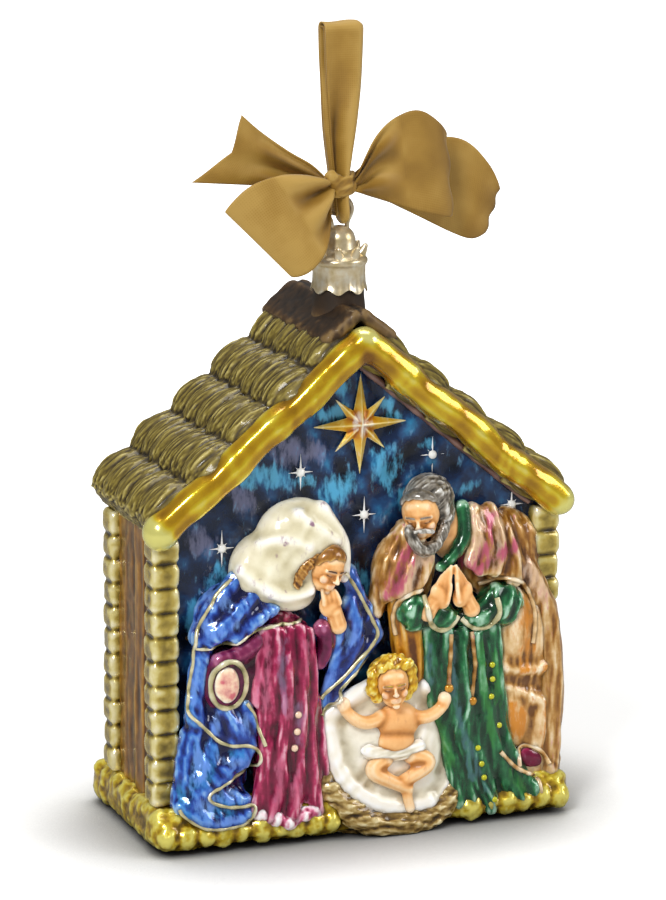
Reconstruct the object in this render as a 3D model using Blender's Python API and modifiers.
"""Blown-glass stable ornament: one moulded glass body, a crown cap, its sprung wire and two ribbons."""

import math

import bmesh
import bpy
from mathutils import Matrix, Vector

MM = 0.001

# Driving dimensions in millimetres. The front faces -Y and the base stands on Z = 0.
HOUSE_WIDTH = 90.0
HOUSE_DEPTH = 32.5
BASE_HEIGHT = 9.0
BASE_SIDE_OVERHANG = 1.6
BASE_FRONT_OVERHANG = 6.5
EAVE_HEIGHT = 62.0
RIDGE_HEIGHT = 107.6
ROOF_SIDE_OVERHANG = 2.1
ROOF_FRONT_OVERHANG = 4.6
RIM_RADIUS = 3.6
POST_SIZE = 6.2
POST_BLOCKS = 11
PANEL_RECESS = 4.2
THATCH_COURSES = 5
THATCH_STRANDS = 9
STAR_X = 0.8
STAR_HEIGHT = 76.2
STAR_LONG_RAY = 10.8
STAR_SHORT_RAY = 8.2
NECK_Y = -3.0
NECK_RADIUS = 4.4
NECK_BORE_RADIUS = 3.5
NECK_BORE_DEPTH = 14.0
CAP_RADIUS = 5.45
CAP_WALL = 0.4
CAP_HEIGHT = 8.0
CAP_SCALLOPS = 8
CAP_ABOVE_RIDGE = 4.0
CAP_DOME = 5.2
FIT_GAP = 0.3
WIRE_DIAMETER = 1.0
WIRE_LEG_X = 1.6
WIRE_LOOP_RADIUS = 2.7
LOOP_ABOVE_DOME = 3.0
RIBBON_WIDTH = 19.0
RIBBON_THICKNESS = 0.5
RIBBON_FOLDED_WIDTH = 8.2
KNOT_ABOVE_LOOP = 2.5
LOOP_ABOVE_KNOT = 33.0

# The relief was laid out on a house of this width and wall height.
DRAWN_WIDTH = 90.0
DRAWN_WALL = 53.0

VOXEL = 0.55
BODY_TRIANGLE_SHARE = 0.0265

PANEL_Y = -HOUSE_DEPTH / 2 + PANEL_RECESS
HALF_WIDTH = HOUSE_WIDTH / 2
EAVE_X = HALF_WIDTH + ROOF_SIDE_OVERHANG
RIM_LINE_TOP = RIDGE_HEIGHT - 4.8
RIM_LINE_END = EAVE_HEIGHT + 4.9
RIM_Y = -HOUSE_DEPTH / 2 - ROOF_FRONT_OVERHANG + RIM_RADIUS
ROOF_BACK_Y = HOUSE_DEPTH / 2 + ROOF_FRONT_OVERHANG
SLOPE = math.atan2(RIM_LINE_TOP - RIM_LINE_END, EAVE_X - RIM_RADIUS)
CAP_BOTTOM = RIDGE_HEIGHT + CAP_ABOVE_RIDGE
CAP_TOP = CAP_BOTTOM + CAP_HEIGHT
LOOP_HEIGHT = CAP_TOP + CAP_DOME + LOOP_ABOVE_DOME
KNOT_HEIGHT = LOOP_HEIGHT + WIRE_LOOP_RADIUS + KNOT_ABOVE_LOOP
RIBBON_TOP = KNOT_HEIGHT + LOOP_ABOVE_KNOT


def clear_scene():
    for obj in list(bpy.data.objects):
        bpy.data.objects.remove(obj, do_unlink=True)


def make_collection(name, hidden=False):
    collection = bpy.data.collections.new(name)
    bpy.context.scene.collection.children.link(collection)
    collection.hide_render = hidden
    return collection


def make_material(name, colour, roughness, metallic=0.0):
    material = bpy.data.materials.new(name)
    material.use_nodes = True
    material.diffuse_color = (*colour, 1.0)
    shader = material.node_tree.nodes["Principled BSDF"]
    shader.inputs["Base Color"].default_value = (*colour, 1.0)
    shader.inputs["Roughness"].default_value = roughness
    shader.inputs["Metallic"].default_value = metallic
    return material


def millimetres(x, y, z):
    return Vector((x, y, z)) * MM


class Clay:
    """Solid lumps and rolls gathered in one mesh, to be fused into one moulded form."""

    def __init__(self):
        self.mesh = bmesh.new()
        self.rolls = bpy.data.curves.new("rolls", "CURVE")
        self.rolls.dimensions = "3D"
        self.rolls.bevel_depth = MM
        self.rolls.bevel_resolution = 2
        self.rolls.use_fill_caps = True

    def ball(self, centre, radii, turn=0.0, detail=2):
        placed = (
            Matrix.Translation(millimetres(*centre))
            @ Matrix.Rotation(math.radians(turn), 4, "Y")
            @ Matrix.Diagonal((*(radius * MM for radius in radii), 1.0))
        )
        bmesh.ops.create_icosphere(self.mesh, subdivisions=detail, radius=1.0, matrix=placed)

    def rounded_box(self, centre, size, corner, turn=0.0, segments=3):
        placed = (
            Matrix.Translation(millimetres(*centre))
            @ Matrix.Rotation(turn, 4, "Y")
            @ Matrix.Diagonal((*(side * MM for side in size), 1.0))
        )
        made = bmesh.ops.create_cube(self.mesh, size=1.0, matrix=placed)
        edges = list({edge for vert in made["verts"] for edge in vert.link_edges})
        bmesh.ops.bevel(
            self.mesh,
            geom=edges,
            offset=corner * MM,
            segments=segments,
            profile=0.5,
            affect="EDGES",
        )

    def cone(self, start, end, start_radius, end_radius, sides=12):
        start = millimetres(*start)
        end = millimetres(*end)
        turned = (end - start).to_track_quat("Z", "Y").to_matrix().to_4x4()
        bmesh.ops.create_cone(
            self.mesh,
            cap_ends=True,
            segments=sides,
            radius1=start_radius * MM,
            radius2=end_radius * MM,
            depth=(end - start).length,
            matrix=Matrix.Translation((start + end) / 2) @ turned,
        )

    def tube(self, points):
        """A round-ended roll through (x, y, z, radius) points."""
        spline = self.rolls.splines.new("NURBS")
        spline.points.add(len(points) - 1)
        for point, (x, y, z, radius) in zip(spline.points, points):
            point.co = (*millimetres(x, y, z), 1.0)
            point.radius = radius
        spline.order_u = min(3, len(points))
        spline.use_endpoint_u = True
        spline.resolution_u = 4
        for x, y, z, radius in (points[0], points[-1]):
            self.ball((x, y, z), (radius, radius, radius))

    def finish(self, name, collection):
        """One mesh object holding every closed lump and roll."""
        guide = bpy.data.objects.new("roll_guide", self.rolls)
        collection.objects.link(guide)
        bpy.context.view_layer.update()
        graph = bpy.context.evaluated_depsgraph_get()
        tubes = bpy.data.meshes.new_from_object(guide.evaluated_get(graph))
        rolled = bmesh.new()
        rolled.from_mesh(tubes)
        bmesh.ops.remove_doubles(rolled, verts=rolled.verts, dist=1e-6)
        rolled.to_mesh(tubes)
        rolled.free()
        self.mesh.from_mesh(tubes)
        bpy.data.objects.remove(guide, do_unlink=True)
        mesh = bpy.data.meshes.new(name)
        self.mesh.to_mesh(mesh)
        self.mesh.free()
        obj = bpy.data.objects.new(name, mesh)
        collection.objects.link(obj)
        return obj


def relief_place(x, proud, height):
    """A relief point: across, proud of the sky panel, and above the base."""
    wall = EAVE_HEIGHT - BASE_HEIGHT
    return (
        x * HOUSE_WIDTH / DRAWN_WIDTH,
        PANEL_Y - proud,
        BASE_HEIGHT + height * wall / DRAWN_WALL,
    )


def lump(clay, centre, radii, turn=0.0):
    clay.ball(relief_place(*centre), radii, turn)


def roll(clay, *points):
    clay.tube([(*relief_place(x, proud, height), radius) for x, proud, height, radius in points])


def prism(clay, outline, front, back):
    """A flat outline in the front plane, filled and given its depth along Y."""
    curve = bpy.data.curves.new("outline", "CURVE")
    curve.dimensions = "2D"
    curve.fill_mode = "BOTH"
    curve.extrude = (back - front) / 2 * MM
    spline = curve.splines.new("POLY")
    spline.points.add(len(outline) - 1)
    for point, (x, z) in zip(spline.points, outline):
        point.co = (x * MM, z * MM, 0.0, 1.0)
    spline.use_cyclic_u = True
    guide = bpy.data.objects.new("outline_guide", curve)
    bpy.context.scene.collection.objects.link(guide)
    graph = bpy.context.evaluated_depsgraph_get()
    flat = bpy.data.meshes.new_from_object(guide.evaluated_get(graph))
    upright = Matrix.Translation(millimetres(0, (front + back) / 2, 0))
    flat.transform(upright @ Matrix.Rotation(math.radians(90), 4, "X"))
    filled = bmesh.new()
    filled.from_mesh(flat)
    bmesh.ops.remove_doubles(filled, verts=filled.verts, dist=1e-6)
    bmesh.ops.recalc_face_normals(filled, faces=filled.faces)
    filled.to_mesh(flat)
    filled.free()
    clay.mesh.from_mesh(flat)
    bpy.data.objects.remove(guide, do_unlink=True)


def slope_point(side, distance, outward=0.0):
    """A point down one roof slope from the ridge, lifted square to it."""
    x = side * (distance * math.cos(SLOPE) + outward * math.sin(SLOPE))
    z = RIM_LINE_TOP - distance * math.sin(SLOPE) + outward * math.cos(SLOPE)
    return x, z


SLOPE_LENGTH = (EAVE_X - RIM_RADIUS) / math.cos(SLOPE)


def walls(clay):
    half = HALF_WIDTH - 1.7
    shoulder = RIM_LINE_END + (EAVE_X - RIM_RADIUS - half) * math.tan(SLOPE)
    outline = [
        (-half, BASE_HEIGHT - 3),
        (half, BASE_HEIGHT - 3),
        (half, shoulder),
        (0, RIM_LINE_TOP),
        (-half, shoulder),
    ]
    prism(clay, outline, PANEL_Y, HOUSE_DEPTH / 2 - 1.2)


def base(clay):
    half_width = HALF_WIDTH + BASE_SIDE_OVERHANG
    half_depth = HOUSE_DEPTH / 2 + BASE_FRONT_OVERHANG
    buried = 1.2
    clay.rounded_box(
        (0, 0, (BASE_HEIGHT - buried) / 2),
        (2 * half_width, 2 * half_depth, BASE_HEIGHT + buried),
        3.0,
    )
    pebbles = 23
    pebble_radius = 2.2
    for i in range(pebbles):
        swell = 0.35 * math.sin(2.7 * i)
        x = ((i + 0.5) / pebbles - 0.5) * 2 * (half_width - 1.4)
        size = pebble_radius + swell
        clay.ball((x, -half_depth + 2.0, BASE_HEIGHT * 0.42), (size, pebble_radius + 0.4, size + 0.5))


def posts(clay):
    pitch = (EAVE_HEIGHT + 3 - BASE_HEIGHT) / POST_BLOCKS
    for side in (-1, 1):
        for end in (-1, 1):
            x = side * (HALF_WIDTH - POST_SIZE / 2)
            y = end * (HOUSE_DEPTH / 2 - POST_SIZE / 2)
            for i in range(POST_BLOCKS):
                z = BASE_HEIGHT + (i + 0.5) * pitch
                clay.rounded_box((x, y, z), (POST_SIZE, POST_SIZE, pitch * 0.97), 1.7)


def thatch(clay):
    course = SLOPE_LENGTH / THATCH_COURSES
    front = RIM_Y + 1.5
    middle = (front + ROOF_BACK_Y) / 2
    depth = ROOF_BACK_Y - front
    board_thickness = 6.4
    board_corner = 2.4
    overlap = 3.0
    tuck = math.radians(7)
    for side in (-1, 1):
        for i in range(THATCH_COURSES):
            x, z = slope_point(side, (i + 0.5) * course, 0.6)
            board = (course + overlap, depth, board_thickness)
            clay.rounded_box((x, middle, z), board, board_corner, side * (SLOPE - tuck))
            for j in range(THATCH_STRANDS):
                y = front + (j + 0.6) / THATCH_STRANDS * (depth - 2)
                lean = 1.4 * math.sin(1.9 * j + 1.3 * i)
                points = []
                for down, out, radius in ((0.2, 2.4, 0.8), (0.6, 3.4, 1.5), (1.05, 2.8, 1.6)):
                    x, z = slope_point(side, (i + down) * course, out)
                    points.append((x, y + lean * down, z, radius))
                clay.tube(points)


def ridge(clay):
    front = RIM_Y + 1.0
    middle = (front + ROOF_BACK_Y + 1.0) / 2
    depth = ROOF_BACK_Y + 1.0 - front
    for side in (-1, 1):
        x, z = slope_point(side, 2.4, 4.4)
        board = (12.4, depth, 3.0)
        clay.rounded_box((x, middle, z), board, 1.2, side * SLOPE)


def rim(clay):
    waves = 7
    for side in (-1, 1):
        points = []
        for i in range(2 * waves + 1):
            swell = 0.55 if i % 2 else -0.45
            x, z = slope_point(side, i / (2 * waves) * SLOPE_LENGTH)
            points.append((x, RIM_Y, z, RIM_RADIUS + swell))
        clay.tube(points)
    clay.ball((0, RIM_Y, RIM_LINE_TOP), (RIM_RADIUS + 0.6, RIM_RADIUS, RIM_RADIUS + 0.9))


def guiding_star(clay):
    centre_z = BASE_HEIGHT + STAR_HEIGHT
    y = PANEL_Y - 0.7
    for i in range(8):
        long = i % 2 == 0
        reach = STAR_LONG_RAY if long else STAR_SHORT_RAY
        angle = math.radians(45 * i)
        tip = (STAR_X + reach * math.sin(angle), y, centre_z + reach * math.cos(angle))
        clay.cone((STAR_X, y, centre_z), tip, 1.7 if long else 1.3, 0.25, 8)
    clay.ball((STAR_X, y, centre_z), (2.0, 1.8, 2.0))


def neck(clay):
    top = CAP_TOP - 1.7
    clay.cone((0, NECK_Y, RIM_LINE_TOP - 6), (0, NECK_Y, top), NECK_RADIUS, NECK_RADIUS, 32)
    clay.cone((0, NECK_Y, RIM_LINE_TOP), (0, NECK_Y, CAP_BOTTOM - 1.2), 7.5, NECK_RADIUS, 32)


def add_boolean(obj, other, operation, overlaps_itself=False):
    modifier = obj.modifiers.new(other.name, "BOOLEAN")
    modifier.operation = operation
    modifier.object = other
    modifier.solver = "EXACT"
    modifier.use_self = overlaps_itself


def cylinder_cutter(name, collection, start, end, radius, sides=24):
    cutter = bmesh.new()
    start = millimetres(*start)
    end = millimetres(*end)
    turned = (end - start).to_track_quat("Z", "Y").to_matrix().to_4x4()
    bmesh.ops.create_cone(
        cutter,
        cap_ends=True,
        segments=sides,
        radius1=radius * MM,
        radius2=radius * MM,
        depth=(end - start).length,
        matrix=Matrix.Translation((start + end) / 2) @ turned,
    )
    return object_from(cutter, name, collection)


def box_cutter(name, collection, centre, size):
    cutter = bmesh.new()
    placed = Matrix.Translation(millimetres(*centre)) @ Matrix.Diagonal((*millimetres(*size), 1.0))
    bmesh.ops.create_cube(cutter, size=1.0, matrix=placed)
    return object_from(cutter, name, collection)


def object_from(built, name, collection):
    mesh = bpy.data.meshes.new(name)
    built.to_mesh(mesh)
    built.free()
    obj = bpy.data.objects.new(name, mesh)
    if collection.hide_render:
        obj.display_type = "WIRE"
    collection.objects.link(obj)
    return obj


def settle(obj):
    """Makes the modifiers' result the object's own mesh, with its faces pointing out."""
    bpy.context.view_layer.update()
    graph = bpy.context.evaluated_depsgraph_get()
    made = bpy.data.meshes.new_from_object(obj.evaluated_get(graph))
    solid = bmesh.new()
    solid.from_mesh(made)
    bmesh.ops.remove_doubles(solid, verts=solid.verts, dist=1e-6)
    bmesh.ops.recalc_face_normals(solid, faces=solid.faces)
    solid.to_mesh(made)
    solid.free()
    obj.modifiers.clear()
    obj.data = made
    return obj


def build_glass_body(parts, cutters):
    clay = Clay()
    for shape in HOUSE_SHAPES + RELIEF_SHAPES:
        shape(clay)
    body = clay.finish("glass_body", parts)
    fuse = body.modifiers.new("fuse", "REMESH")
    fuse.mode = "VOXEL"
    fuse.voxel_size = VOXEL * MM
    soften = body.modifiers.new("soften", "SMOOTH")
    soften.factor = 0.5
    soften.iterations = 2
    thin = body.modifiers.new("thin", "DECIMATE")
    thin.ratio = BODY_TRIANGLE_SHARE
    thin.use_collapse_triangulate = True
    floor = box_cutter("floor_cutter", cutters, (0, 0, -10), (200, 200, 20))
    add_boolean(body, floor, "DIFFERENCE")
    bore = cylinder_cutter(
        "neck_bore_cutter",
        cutters,
        (0, NECK_Y, CAP_TOP - NECK_BORE_DEPTH),
        (0, NECK_Y, CAP_TOP + 2),
        NECK_BORE_RADIUS,
    )
    add_boolean(body, bore, "DIFFERENCE")
    return body


def revolve(name, collection, profile, centre, steps=32):
    """A turned solid: a (radius, height) profile from axis to axis, spun about a vertical axis."""
    built = bmesh.new()
    verts = [built.verts.new(millimetres(radius, 0, height)) for radius, height in profile]
    for first, second in zip(verts, verts[1:]):
        built.edges.new((first, second))
    obj = object_from(built, name, collection)
    obj.location = millimetres(*centre)
    spin = obj.modifiers.new("spin", "SCREW")
    spin.axis = "Z"
    spin.steps = steps
    spin.render_steps = steps
    spin.use_merge_vertices = True
    spin.merge_threshold = 0.00001
    spin.use_normal_calculate = True
    return settle(obj)


def build_cap(parts, cutters):
    radius = CAP_RADIUS
    wall = CAP_WALL
    outside = [
        (0.0, 0.0),
        (radius + 0.45, 0.0),
        (radius, 1.4),
        (radius - 0.05, 3.4),
        (radius, 5.2),
        (radius + 0.35, 5.6),
        (radius + 0.35, 6.5),
        (radius - 0.5, 7.1),
        (radius - 1.1, CAP_HEIGHT),
        (3.4, CAP_HEIGHT + 0.5),
        (3.3, CAP_HEIGHT + 2.4),
        (2.6, CAP_HEIGHT + CAP_DOME - 1.2),
        (1.4, CAP_HEIGHT + CAP_DOME - 0.3),
        (0.0, CAP_HEIGHT + CAP_DOME),
    ]
    inside = [
        (0.0, -1.0),
        (radius + 0.45 - wall, -1.0),
        (radius + 0.45 - wall, 0.0),
        (radius - wall, 1.4),
        (radius - wall, 6.4),
        (radius - 0.5 - wall, 6.8),
        (radius - 1.1 - wall, CAP_HEIGHT - wall),
        (3.0, CAP_HEIGHT),
        (2.9, CAP_HEIGHT + 2.3),
        (2.3, CAP_HEIGHT + CAP_DOME - 1.5),
        (1.2, CAP_HEIGHT + CAP_DOME - 0.8),
        (0.0, CAP_HEIGHT + CAP_DOME - 0.5),
    ]
    cap = revolve("cap", parts, outside, (0, NECK_Y, CAP_BOTTOM))
    for i in range(CAP_SCALLOPS):
        crown = Clay()
        angle = 2 * math.pi * (i + 0.5) / CAP_SCALLOPS
        across = Vector((math.cos(angle), math.sin(angle), 0))
        root = across * (radius - 1.3)
        tip = across * (radius + 0.3)
        start = (root.x, root.y + NECK_Y, CAP_TOP - 1.4)
        end = (tip.x, tip.y + NECK_Y, CAP_TOP + 1.8)
        crown.cone(start, end, 1.1, 0.35, 8)
        point = crown.finish(f"crown_point_guide_{i}", cutters)
        point.display_type = "WIRE"
        add_boolean(cap, point, "UNION")
    add_boolean(cap, revolve("cap_hollow_cutter", cutters, inside, (0, NECK_Y, CAP_BOTTOM)), "DIFFERENCE")
    for i in range(CAP_SCALLOPS):
        angle = 2 * math.pi * i / CAP_SCALLOPS
        across = Vector((math.cos(angle), math.sin(angle), 0))
        inner = across * (radius - 2)
        outer = across * (radius + 3)
        notch = cylinder_cutter(
            f"scallop_cutter_{i}",
            cutters,
            (inner.x, inner.y + NECK_Y, CAP_BOTTOM - 0.1),
            (outer.x, outer.y + NECK_Y, CAP_BOTTOM - 0.1),
            0.95,
            12,
        )
        add_boolean(cap, notch, "DIFFERENCE")
    for side in (-1, 1):
        hole = cylinder_cutter(
            f"wire_hole_cutter_{side}",
            cutters,
            (side * WIRE_LEG_X, NECK_Y, CAP_TOP + 1),
            (side * WIRE_LEG_X, NECK_Y, CAP_TOP + 8),
            WIRE_DIAMETER / 2 + FIT_GAP,
            12,
        )
        add_boolean(cap, hole, "DIFFERENCE")
    return cap


def build_wire(parts):
    """A sprung wire: legs splayed in the neck bore, a round loop above the cap."""
    curve = bpy.data.curves.new("wire_hanger", "CURVE")
    curve.dimensions = "3D"
    curve.bevel_depth = WIRE_DIAMETER / 2 * MM
    curve.bevel_resolution = 2
    curve.use_fill_caps = True
    leg = [
        (NECK_BORE_RADIUS - WIRE_DIAMETER / 2 - FIT_GAP, CAP_TOP - NECK_BORE_DEPTH + 3),
        (1.9, CAP_TOP - 4),
        (WIRE_LEG_X, CAP_TOP),
        (WIRE_LEG_X, LOOP_HEIGHT - 2.6),
    ]
    arc = []
    for i in range(9):
        angle = math.radians(-30 + 30 * i)
        across = WIRE_LOOP_RADIUS * math.cos(angle)
        arc.append((across, LOOP_HEIGHT + WIRE_LOOP_RADIUS * math.sin(angle)))
    path = leg + arc + [(-x, z) for x, z in reversed(leg)]
    spline = curve.splines.new("POLY")
    spline.points.add(len(path) - 1)
    for point, (x, z) in zip(spline.points, path):
        point.co = (*millimetres(x, NECK_Y, z), 1.0)
    wire = bpy.data.objects.new("wire_hanger", curve)
    parts.objects.link(wire)
    return wire


def smooth_between(before, start, end, after, part):
    """Catmull-Rom: the point at part of the way from start to end."""
    return 0.5 * (
        2 * start
        + (end - before) * part
        + (2 * before - 5 * start + 4 * end - after) * part**2
        + (3 * start - before - 3 * end + after) * part**3
    )


def strip_surface(name, collection, rungs, across=5, along=3, closed=False, notch=0.0):
    """A ribbon surface through rungs, each a pair of edge points (x, y, height above the knot)."""
    count = len(rungs)
    spans = count if closed else count - 1
    rows = spans * along + (0 if closed else 1)
    grid = bmesh.new()
    lines = []
    for row in range(rows):
        span = min(row // along, spans - 1)
        part = row / along - span
        chosen = []
        for step in (-1, 0, 1, 2):
            index = span + step
            chosen.append(index % count if closed else min(max(index, 0), count - 1))
        line = []
        for column in range(across + 1):
            share = column / across
            pins = [Vector(rungs[k][0]).lerp(Vector(rungs[k][1]), share) for k in chosen]
            point = smooth_between(*pins, part)
            width = (Vector(rungs[chosen[1]][0]) - Vector(rungs[chosen[1]][1])).length
            gather = max(0.0, 1 - width / RIBBON_WIDTH)
            point.y += NECK_Y + 0.45 * gather * math.sin(4 * math.pi * share)
            point.z += KNOT_HEIGHT
            if notch and span == spans - 1:
                inward = pins[1] - pins[2]
                inward.y = 0
                point += inward.normalized() * notch * part**2 * math.sin(math.pi * share)
            line.append(grid.verts.new(point * MM))
        lines.append(line)
    pairs = list(zip(lines, lines[1:] + lines[:1])) if closed else list(zip(lines, lines[1:]))
    for first, second in pairs:
        for i in range(across):
            grid.faces.new((first[i], first[i + 1], second[i + 1], second[i]))
    obj = object_from(grid, name, collection)
    thick = obj.modifiers.new("thickness", "SOLIDIFY")
    thick.thickness = RIBBON_THICKNESS * MM
    thick.offset = 0.0
    return settle(obj)


def build_bow(parts, cutters):
    knot = bmesh.new()
    placed = Matrix.Translation(millimetres(0, NECK_Y, KNOT_HEIGHT)) @ Matrix.Diagonal(
        (*millimetres(3.4, 4.2, 3.0), 1.0)
    )
    bmesh.ops.create_uvsphere(knot, u_segments=20, v_segments=12, radius=1.0, matrix=placed)
    bow = object_from(knot, "bow_ribbon", parts)
    for name, rungs, notch in (
        ("left_loop_guide", LEFT_LOOP, 0.0),
        ("right_loop_guide", RIGHT_LOOP, 0.0),
        ("rear_loop_guide", REAR_LOOP, 0.0),
        ("tail_guide", LEFT_TAIL, 3.0),
    ):
        strip = strip_surface(name, cutters, rungs, notch=notch)
        add_boolean(bow, strip, "UNION", overlaps_itself=True)
    tunnel = box_cutter("knot_tunnel_cutter", cutters, (0, NECK_Y, KNOT_HEIGHT), (3.9, 5.0, 9))
    add_boolean(bow, tunnel, "DIFFERENCE")
    return bow


def build_hanging_ribbon(parts):
    """One loop of ribbon folded lengthwise, through the wire and up to its top fold."""
    top = LOOP_ABOVE_KNOT
    bottom = LOOP_HEIGHT - KNOT_HEIGHT
    half = RIBBON_FOLDED_WIDTH / 2
    strand = [
        (bottom - 0.8, 1.35, 1.65),
        (-2.6, 1.4, 1.65),
        (2.5, 1.6, 1.5),
        (12.0, 0.7 * half, 2.6),
        (top - 12.0, 0.9 * half, 3.7),
        (top - 4.2, half, 3.7),
        (top - 1.1, half, 2.6),
    ]
    front = [((side, -back, height), (-side, -back, height)) for height, side, back in strand]
    rear = [((side, back, height), (-side, back, height)) for height, side, back in reversed(strand)]
    over = [((half, 0.0, top), (-half, 0.0, top))]
    under = [((1.3, 0.0, bottom - 2.1), (-1.3, 0.0, bottom - 2.1))]
    return strip_surface("hanging_ribbon", parts, front + over + rear + under, along=2, closed=True)


def mother_veil(clay):
    lump(clay, (-13.5, 3.5, 53), (9.6, 6.2, 9.4))
    lump(clay, (-19.5, 3, 48), (8.6, 5.8, 8.2))
    lump(clay, (-16.5, 4, 44), (7, 5, 4.8), 20)
    roll(clay, (-9.5, 6, 60, 2), (-6, 6.5, 55.5, 1.8), (-4, 6.5, 50.5, 1.6), (-4.5, 6, 45.5, 1.2))
    roll(clay, (-15, 7.5, 60, 1.4), (-11.5, 8.5, 56.5, 1.3), (-7, 8, 54, 1))
    roll(clay, (-22.5, 6.5, 54, 1.4), (-18.5, 8.5, 56.5, 1.4), (-13.5, 9, 53.5, 1.2))
    roll(clay, (-26.5, 6, 49, 1.3), (-23, 8, 45.5, 1.4), (-17, 8.5, 42.5, 1.4), (-12.5, 8.5, 44, 1.2))


def mother_hair(clay):
    roll(clay, (-15.5, 8, 45, 1), (-15, 8.6, 48, 1.3), (-12.5, 9, 51, 1.3), (-8, 8.6, 52, 1))


def mother_face(clay):
    lump(clay, (-9.4, 7, 48), (4.2, 4, 5.4), -18)


def mother_hand(clay):
    lump(clay, (-8.4, 8.2, 40.6), (2.4, 1.9, 3.2), 10)
    roll(clay, (-10, 9.2, 41.2, 0.8), (-10.8, 9.4, 43.2, 0.8), (-11, 9.2, 44.8, 0.65))
    roll(clay, (-9.2, 9.8, 41.8, 0.8), (-9.6, 10, 44, 0.8), (-9.6, 9.8, 45.4, 0.6))
    roll(clay, (-7.8, 9.6, 41.6, 0.75), (-7.8, 9.8, 43.6, 0.75), (-8, 9.5, 44.8, 0.6))
    roll(clay, (-7.6, 8.2, 39.4, 1.9), (-6.2, 7.5, 36, 2.1))


def mother_mantle(clay):
    lump(clay, (-27.5, 3, 39.5), (8.2, 4.6, 6.6))
    roll(clay, (-27, 4, 46.5, 2.2), (-32, 5, 41.5, 2.8), (-35, 5, 35.5, 2.4))
    roll(clay, (-24, 5.5, 43.5, 2), (-28.5, 7, 40, 2.6), (-33, 7, 36, 2.2))
    roll(clay, (-19.5, 6, 40.5, 1.6), (-24, 7.5, 39, 2), (-28, 7.5, 36, 1.8))
    roll(clay, (-34.5, 4.5, 32.5, 2), (-36, 5, 26, 2.6), (-36.5, 5.5, 19, 2.4))
    roll(clay, (-35.5, 5, 18, 2.4), (-31, 6, 14.5, 3), (-25.5, 6.5, 12, 2.6))
    roll(clay, (-30.5, 6, 20, 2), (-29.5, 7, 17, 2.3), (-27.5, 7, 14.5, 2))
    roll(clay, (-26, 6.5, 21, 1.6), (-25.5, 7.5, 17.5, 1.9), (-25, 7, 14, 1.8))
    roll(clay, (-37, 5, 15, 2.4), (-38.5, 5.5, 8, 2.8), (-39.5, 6.5, 1, 2.6))
    roll(clay, (-33, 6, 12.5, 2.6), (-35, 7, 7, 2.8), (-37.5, 8, 1.5, 2.4))
    roll(clay, (-27.5, 7, 10, 2.8), (-31.5, 8, 7.5, 2.4), (-35.5, 8.5, 4, 2))
    roll(clay, (-40, 8, 1, 2), (-36.5, 9, -1.5, 2.4), (-31, 9.2, -3, 2.4), (-26.5, 8.8, -1.5, 1.9))
    roll(clay, (-34, 8.5, 2.5, 1.8), (-31, 9.2, 1, 2), (-26.5, 8.6, 1.5, 1.6))
    lump(clay, (-32, 3.5, 6.5), (7.5, 4.5, 12))
    lump(clay, (-30.5, 3, 18.5), (6.5, 4, 9))


def mother_sleeve(clay):
    lump(clay, (-29.5, 5, 26), (6, 3.8, 6.8))
    roll(clay, (-22.5, 6, 34, 1.8), (-27, 7, 31.5, 2.2), (-31.5, 7, 30.5, 2))
    roll(clay, (-23.5, 6, 29.5, 1.6), (-24.5, 6.6, 25, 1.8), (-25, 6.4, 21, 1.4))


def mother_cuff_lining(clay):
    lump(clay, (-30.5, 8.4, 26), (2.7, 1.2, 3.9))


def mother_dress(clay):
    lump(clay, (-16.5, 3.5, 25), (7.6, 4.6, 14))
    lump(clay, (-16, 4, 7), (7.4, 5, 13))
    roll(clay, (-21.5, 6.5, 35.5, 1.5), (-23, 7.6, 29, 2), (-23.5, 7.2, 22, 1.8))
    roll(clay, (-19.5, 7, 36, 1.4), (-20.5, 8.4, 28, 1.9), (-21.5, 8, 18.5, 1.7))
    roll(
        clay,
        (-16.5, 7, 36, 1.3),
        (-17.5, 8.8, 26, 1.9),
        (-18.5, 8.4, 14.5, 1.8),
        (-19, 8.8, 3, 1.9),
        (-21.5, 9.4, -2.5, 1.6),
    )
    roll(
        clay,
        (-14, 7, 36, 1.2),
        (-14.5, 8.5, 25.5, 1.6),
        (-15, 8.4, 14, 1.7),
        (-15, 9, 3.5, 1.8),
        (-17, 9.6, -3.5, 1.6),
    )
    roll(
        clay,
        (-12, 6.5, 35, 1.2),
        (-11.5, 7.6, 25, 1.4),
        (-12.5, 7.8, 13.5, 1.5),
        (-12, 8.4, 3, 1.7),
        (-11, 9, -2.5, 1.4),
    )
    roll(clay, (-22.5, 7, 19.5, 1.5), (-21.5, 8, 12.5, 1.8), (-23, 8.6, 4.5, 1.8), (-24.5, 9.2, -1, 1.4))
    roll(clay, (-10.5, 6.5, 20.5, 1.3), (-9.5, 7, 12, 1.3), (-9, 7.6, 4.5, 1.2))


def mother_hem(clay):
    lump(clay, (-23.5, 8.8, -2), (1.9, 1.9, 1.7))
    lump(clay, (-20.5, 9.4, -3), (2, 2, 1.9))
    lump(clay, (-17.5, 9.6, -4), (2, 2, 1.9))
    lump(clay, (-14, 9.2, -3), (1.9, 1.9, 1.7))
    lump(clay, (-11.5, 8.8, -2.5), (1.8, 1.8, 1.6))


def mother_mantle_far_side(clay):
    lump(clay, (-3, 2.5, 31.5), (6.4, 3, 9))
    roll(clay, (-2.5, 3.5, 45.5, 2), (0, 4.4, 40, 1.9), (3.5, 4.8, 32.5, 1.6))
    roll(clay, (-3, 5.2, 40, 1.6), (-1, 6, 35, 2), (-3.5, 6.2, 29, 2), (-7, 5.6, 22, 1.6))
    roll(clay, (-6, 6, 34, 1.6), (-5.5, 6.4, 28.5, 1.7), (-8, 5.6, 19.5, 1.5))
    roll(clay, (3, 5, 31.5, 1.5), (-1.5, 5.8, 28, 1.8), (-5.5, 5.6, 23, 1.8), (-8.5, 4.8, 17, 1.4))


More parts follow.
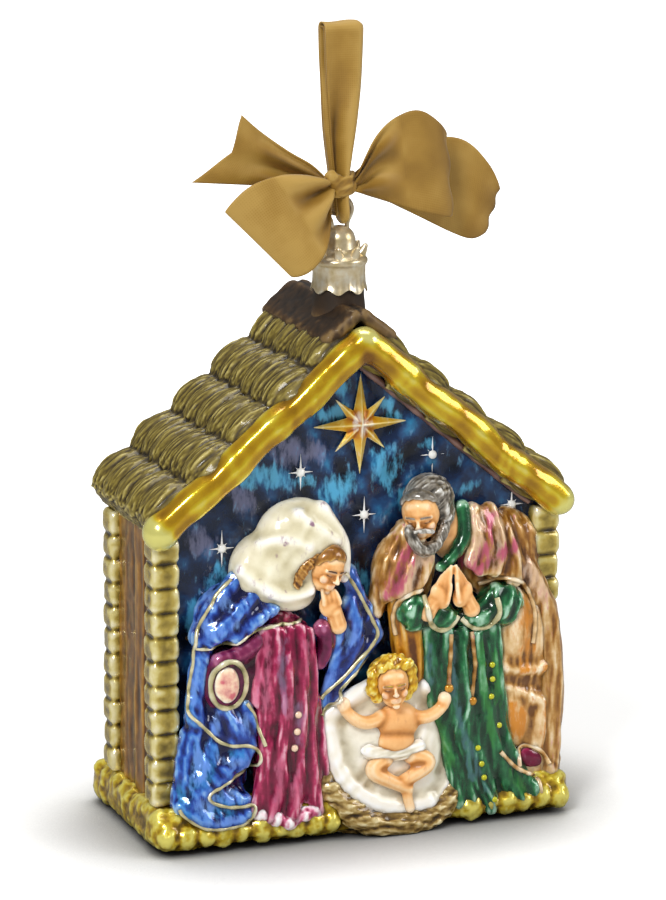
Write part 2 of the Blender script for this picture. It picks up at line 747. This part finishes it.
def mother_far_sleeve(clay):
    roll(clay, (-9.5, 6.8, 35.5, 2), (-7, 6.4, 32.5, 2.2), (-9.5, 6, 28, 1.6))


def father_hair(clay):
    lump(clay, (14.5, 3.5, 60.5), (5.9, 5, 5.4))
    lump(clay, (17.5, 4, 58), (3.4, 4.4, 5))


def father_face(clay):
    lump(clay, (12.8, 5.6, 57.2), (4.6, 3.8, 6.6), 6)


def father_beard(clay):
    roll(
        clay,
        (9.2, 6.6, 56.2, 1.1),
        (9.6, 7.6, 53.2, 1.5),
        (11.6, 8.2, 50.8, 1.7),
        (14.4, 8, 51, 1.6),
        (16.8, 6.8, 53, 1.3),
        (18.4, 5.4, 55.6, 1),
    )


def father_neck(clay):
    lump(clay, (19, 4, 53), (3.4, 3, 6))


def father_collar(clay):
    roll(clay, (22, 5, 58, 1.5), (22.5, 6.4, 53.5, 1.7), (20.5, 7.4, 49.5, 1.7), (16.5, 8, 46.5, 1.4))


def father_cloak_tan(clay):
    roll(clay, (10, 3.5, 54, 2.2), (6.5, 4.2, 49, 2.6), (4.5, 4, 42, 2.4), (3.5, 3.5, 37, 1.8))
    roll(clay, (13.5, 7.6, 49, 1.4), (13, 8, 46, 1.6), (10.5, 7.6, 42, 1.6))
    lump(clay, (10, 2.5, 44.5), (7, 3.6, 9))
    roll(clay, (24.5, 5, 57, 1.8), (25.5, 7, 52, 2), (22.5, 8, 47, 1.6))
    roll(clay, (30.5, 3.5, 54.5, 2), (34.5, 5.2, 47.5, 2.4), (33.5, 6.2, 42, 2))
    lump(clay, (32, 2, 46.5), (9.5, 3.8, 10))
    roll(
        clay,
        (35.5, 3.5, 46, 2.4),
        (41, 4.4, 37.5, 2.8),
        (43, 4.8, 25, 2.8),
        (43, 4.8, 12, 2.8),
        (42, 5.4, -0.5, 2.8),
    )


def father_cloak_rose(clay):
    roll(clay, (10.5, 5.5, 52, 1.8), (8, 6, 47.5, 2.2), (5.5, 5.6, 41.5, 2.2))
    roll(clay, (26.5, 4.5, 56.5, 1.7), (28, 6.8, 51.5, 2), (25, 7.8, 45, 1.6))


def father_cloak_cream(clay):
    roll(clay, (12, 6.8, 50.5, 1.6), (10, 7.4, 47, 2), (8, 7, 42, 2))
    roll(clay, (28.5, 4, 56.5, 1.8), (31.5, 6.2, 50, 2.2), (28.5, 7.2, 44.5, 1.8))


def father_hands(clay):
    roll(clay, (15, 10, 46, 1.3), (14, 10, 42, 1.8), (15.6, 9.2, 37.6, 2))
    roll(clay, (16.8, 9.6, 46.4, 1.2), (16.4, 9.8, 42.2, 1.6), (17, 9.2, 38.6, 1.6))
    roll(clay, (20, 9.8, 46, 1.3), (20.8, 10.2, 41.8, 1.8), (23.4, 9.4, 37.8, 2))
    roll(clay, (19, 9.2, 45.6, 1.1), (19.2, 9.4, 41.8, 1.5), (20.8, 9, 38.6, 1.5))


def father_sleeves(clay):
    lump(clay, (11, 6, 37), (3.8, 3.6, 4.6))
    lump(clay, (16.5, 6, 35.5), (4, 3.4, 3))
    lump(clay, (25, 6.2, 35), (4.4, 3.4, 3.2))
    lump(clay, (30.5, 5.8, 36.5), (5, 3.8, 5.2))


def father_robe(clay):
    roll(
        clay,
        (15, 5.5, 32.5, 2.2),
        (15, 6.4, 22.5, 2.6),
        (18, 6.4, 11.5, 2.4),
        (20, 7.2, 1.5, 2.4),
        (21, 8.4, -4.5, 2),
    )
    roll(
        clay,
        (18, 6.5, 32, 1.9),
        (17.5, 7.6, 21, 2.2),
        (21, 7.6, 10, 2.3),
        (23.5, 8.2, 0.5, 2.2),
        (23.5, 9, -5.5, 1.8),
    )
    roll(
        clay,
        (21.5, 6.5, 31.5, 1.9),
        (21, 7.8, 20, 2.3),
        (24, 8, 8, 2.4),
        (27, 8.6, -1, 2.3),
        (27.5, 9.2, -6, 1.8),
    )
    roll(
        clay,
        (25, 6.5, 31, 1.9),
        (25.5, 7.6, 19.5, 2.2),
        (28, 7.8, 7.5, 2.3),
        (31.5, 8.4, -0.5, 2.2),
        (34.5, 9, -5, 1.8),
    )
    roll(
        clay,
        (29, 6, 32, 2),
        (29.5, 6.8, 20, 2.2),
        (30.5, 7, 9, 2),
        (34.5, 7.6, 0, 1.9),
        (39, 8.6, -4, 1.6),
    )
    lump(clay, (24.5, 3, 18.5), (8.5, 4.2, 15))
    lump(clay, (29, 3.5, 0), (10, 4.6, 9), -18)


def father_side_drape(clay):
    roll(clay, (8, 5, 40, 2.4), (8.5, 5, 31, 2.6), (10.5, 5, 21.5, 2.2))
    roll(clay, (11, 5.6, 33, 2), (12, 5.6, 26.5, 2), (13, 5.4, 20.5, 1.6))


def father_drape(clay):
    roll(clay, (33, 6, 38.5, 2.2), (33.5, 7, 30.5, 3), (33, 7, 23.5, 2.4))
    roll(clay, (37.5, 5, 37, 2.2), (38.5, 5.6, 28.5, 2.8), (38.5, 5.6, 21.5, 2.2))
    roll(clay, (30.5, 7.6, 23, 1.3), (35, 8, 20.5, 1.5), (41, 6.6, 21.5, 1.3))
    roll(clay, (31.5, 7.4, 19, 1.3), (35.5, 7.8, 16, 1.6), (40.5, 6.8, 12.5, 1.3))
    roll(clay, (34, 6, 16.5, 2.4), (34, 6.4, 11.5, 2.8), (33.5, 6.4, 7, 2.4))
    roll(clay, (39.5, 5, 11.5, 2.4), (41, 5.4, 4, 2.8), (40, 7, -3, 2.4))
    lump(clay, (37.5, 2, 17), (7.5, 4.2, 16))
    lump(clay, (39, 3.5, 1), (6, 4, 8))


def father_pocket(clay):
    lump(clay, (37.5, 6.4, 3), (2.6, 2, 3.4), -25)


def cradle_cloth(clay):
    lump(clay, (5.5, 5, 7.5), (14.6, 4.6, 14))
    roll(clay, (-8, 5.5, 15.5, 2), (-4.5, 6.5, 20, 2), (3, 6.5, 22.5, 1.8))
    roll(
        clay,
        (13.5, 6.5, 21, 1.8),
        (18.5, 6.5, 18, 2),
        (20.5, 6.5, 11, 2),
        (21, 6.5, 3.5, 2),
        (15.5, 7.5, -3.5, 2.2),
    )
    roll(
        clay,
        (-7.5, 6.5, 14, 2),
        (-7, 7.5, 6.5, 2.2),
        (-2.5, 8.5, 0, 2.4),
        (5.5, 9.4, -4.5, 2.2),
        (13.5, 8.6, -3.5, 2.2),
    )


def manger(clay):
    roll(
        clay,
        (-9.5, 4, 12.5, 2),
        (-9.5, 5.5, 6, 2.6),
        (-7.5, 7.5, 0, 3),
        (-2, 9, -5, 3.2),
        (5.5, 9.6, -7.5, 3.2),
        (13.5, 9, -7, 3),
        (19.5, 7.5, -3, 2.8),
        (23, 5.8, 4.5, 2.4),
        (23, 4.5, 12, 1.8),
    )
    lump(clay, (5.5, 4.5, -5), (13.5, 6, 7.5))


def child_hair(clay):
    roll(
        clay,
        (0.2, 8.4, 19.2, 1.1),
        (-0.8, 9, 22.8, 1.4),
        (0.8, 9.4, 26.6, 1.6),
        (4.4, 9.6, 28.2, 1.7),
        (8.4, 9.4, 26.4, 1.6),
        (10.6, 9, 22.4, 1.4),
        (10.2, 8.4, 19, 1.1),
    )
    lump(clay, (5, 8, 24.8), (4.6, 3.2, 4.2))


def child_face(clay):
    lump(clay, (5.4, 9.4, 22), (3.6, 3.2, 4.4))


def child_limbs(clay):
    lump(clay, (6.8, 8.6, 14.6), (4.8, 2.8, 4.2))
    lump(clay, (6.2, 8.8, 10.6), (4.2, 2.8, 3.4))
    roll(clay, (2.8, 9, 16, 1.5), (-1.4, 9.8, 13.6, 1.6), (-5, 9.4, 18.2, 1.3))
    roll(clay, (10.4, 9, 15.4, 1.5), (13.6, 9.8, 14.2, 1.6), (16.6, 9.4, 17.4, 1.3))
    lump(clay, (-5.6, 9.6, 19.6), (1.5, 1.3, 1.7))
    lump(clay, (16.8, 9.6, 18.6), (1.5, 1.3, 1.7))
    roll(
        clay,
        (9.4, 9.6, 7.4, 1.9),
        (14.4, 10.4, 6.4, 1.8),
        (10.4, 10.6, 3.4, 1.7),
        (6.4, 10.4, 1.8, 1.3),
    )
    roll(clay, (3.6, 9.6, 7.2, 1.9), (-0.8, 10.4, 5.4, 1.8), (4, 10.8, 2.8, 1.7), (8.4, 10.6, 0.4, 1.3))
    roll(clay, (8, 10.6, 0.4, 1.1), (8.8, 10.8, -3.6, 1.2))


def child_waistcloth(clay):
    roll(clay, (0, 9.4, 9, 1.6), (5, 10.2, 7, 1.9), (11, 9.6, 9, 1.6))


HOUSE_SHAPES = [walls, base, posts, thatch, ridge, rim, guiding_star, neck]
RELIEF_SHAPES = [
    mother_veil,
    mother_hair,
    mother_face,
    mother_hand,
    mother_mantle,
    mother_sleeve,
    mother_cuff_lining,
    mother_dress,
    mother_hem,
    mother_mantle_far_side,
    mother_far_sleeve,
    father_hair,
    father_face,
    father_beard,
    father_neck,
    father_collar,
    father_cloak_tan,
    father_cloak_rose,
    father_cloak_cream,
    father_hands,
    father_sleeves,
    father_robe,
    father_side_drape,
    father_drape,
    father_pocket,
    cradle_cloth,
    manger,
    child_hair,
    child_face,
    child_limbs,
    child_waistcloth,
]

# Ribbon rungs: pairs of edge points, across, behind the neck's axis, and above the knot.
LEFT_LOOP = [
    ((-2.4, -1.6, 1.2), (-2.4, -1.8, -1.2)),
    ((-8.0, -3.0, 1.6), (-4.0, -4.0, -5.2)),
    ((-16.0, -5.0, 1.0), (-6.3, -6.4, -11.2)),
    ((-22.5, -5.5, -1.0), (-10.0, -6.8, -15.6)),
    ((-25.3, -3.5, -3.4), (-12.3, -4.8, -16.2)),
    ((-21.5, -1.0, -3.0), (-10.8, -1.8, -14.2)),
    ((-12.0, -0.4, -1.4), (-7.2, -0.4, -8.0)),
    ((-2.5, -0.4, 0.4), (-2.5, -0.4, -1.0)),
]
RIGHT_LOOP = [
    ((2.4, -1.6, 1.2), (2.4, -1.8, -1.2)),
    ((6.5, -3.6, 10.0), (6.5, -4.0, -2.5)),
    ((10.5, -5.5, 14.3), (12.0, -6.0, -4.4)),
    ((15.0, -6.5, 15.3), (18.5, -6.5, -6.2)),
    ((20.0, -5.5, 12.0), (22.3, -5.5, -7.0)),
    ((21.8, -3.0, 9.0), (22.8, -3.0, -5.6)),
    ((17.0, -1.6, 8.0), (17.0, -1.6, -3.5)),
    ((8.5, -0.8, 4.0), (8.5, -0.8, -2.0)),
    ((2.5, -0.5, 0.8), (2.5, -0.5, -0.8)),
]
REAR_LOOP = [
    ((2.5, 0.7, 1.0), (2.5, 0.7, -1.0)),
    ((9.0, 1.4, 5.0), (9.0, 1.4, -3.2)),
    ((18.0, 2.0, 8.0), (17.0, 2.0, -7.2)),
    ((27.8, 1.4, 7.4), (25.5, 1.4, -12.0)),
    ((33.0, 0.9, 1.8), (30.5, 0.9, -12.8)),
    ((36.0, 3.0, -4.5), (34.6, 3.0, -11.0)),
    ((29.0, 5.2, -1.5), (28.0, 5.2, -9.5)),
    ((14.0, 4.6, 1.5), (14.0, 4.6, -4.0)),
    ((2.4, 2.0, 0.8), (2.4, 2.0, -0.8)),
]
LEFT_TAIL = [
    ((-2.5, 1.2, 1.2), (-2.5, 1.2, -0.6)),
    ((-5.5, 1.6, 4.0), (-7.0, 1.6, -0.8)),
    ((-10.1, 1.8, 6.8), (-12.0, 1.8, -0.1)),
    ((-16.2, 1.6, 11.1), (-19.0, 1.6, 0.6)),
    ((-20.8, 1.2, 15.0), (-31.4, 1.2, 1.8)),
]


def main():
    clear_scene()
    parts = make_collection("holy_family_ornament")
    cutters = make_collection("cutters_and_guides", hidden=True)
    body = build_glass_body(parts, cutters)
    body.data.materials.append(make_material("lacquered glass", (0.42, 0.30, 0.08), 0.22, 0.35))
    cap = build_cap(parts, cutters)
    cap.data.materials.append(make_material("champagne metal", (0.72, 0.60, 0.38), 0.18, 1.0))
    wire = build_wire(parts)
    wire.data.materials.append(make_material("spring wire", (0.70, 0.62, 0.45), 0.25, 1.0))
    ribbon_cloth = make_material("gold satin ribbon", (0.34, 0.20, 0.05), 0.55)
    for ribbon in (build_hanging_ribbon(parts), build_bow(parts, cutters)):
        ribbon.data.materials.append(ribbon_cloth)


main()
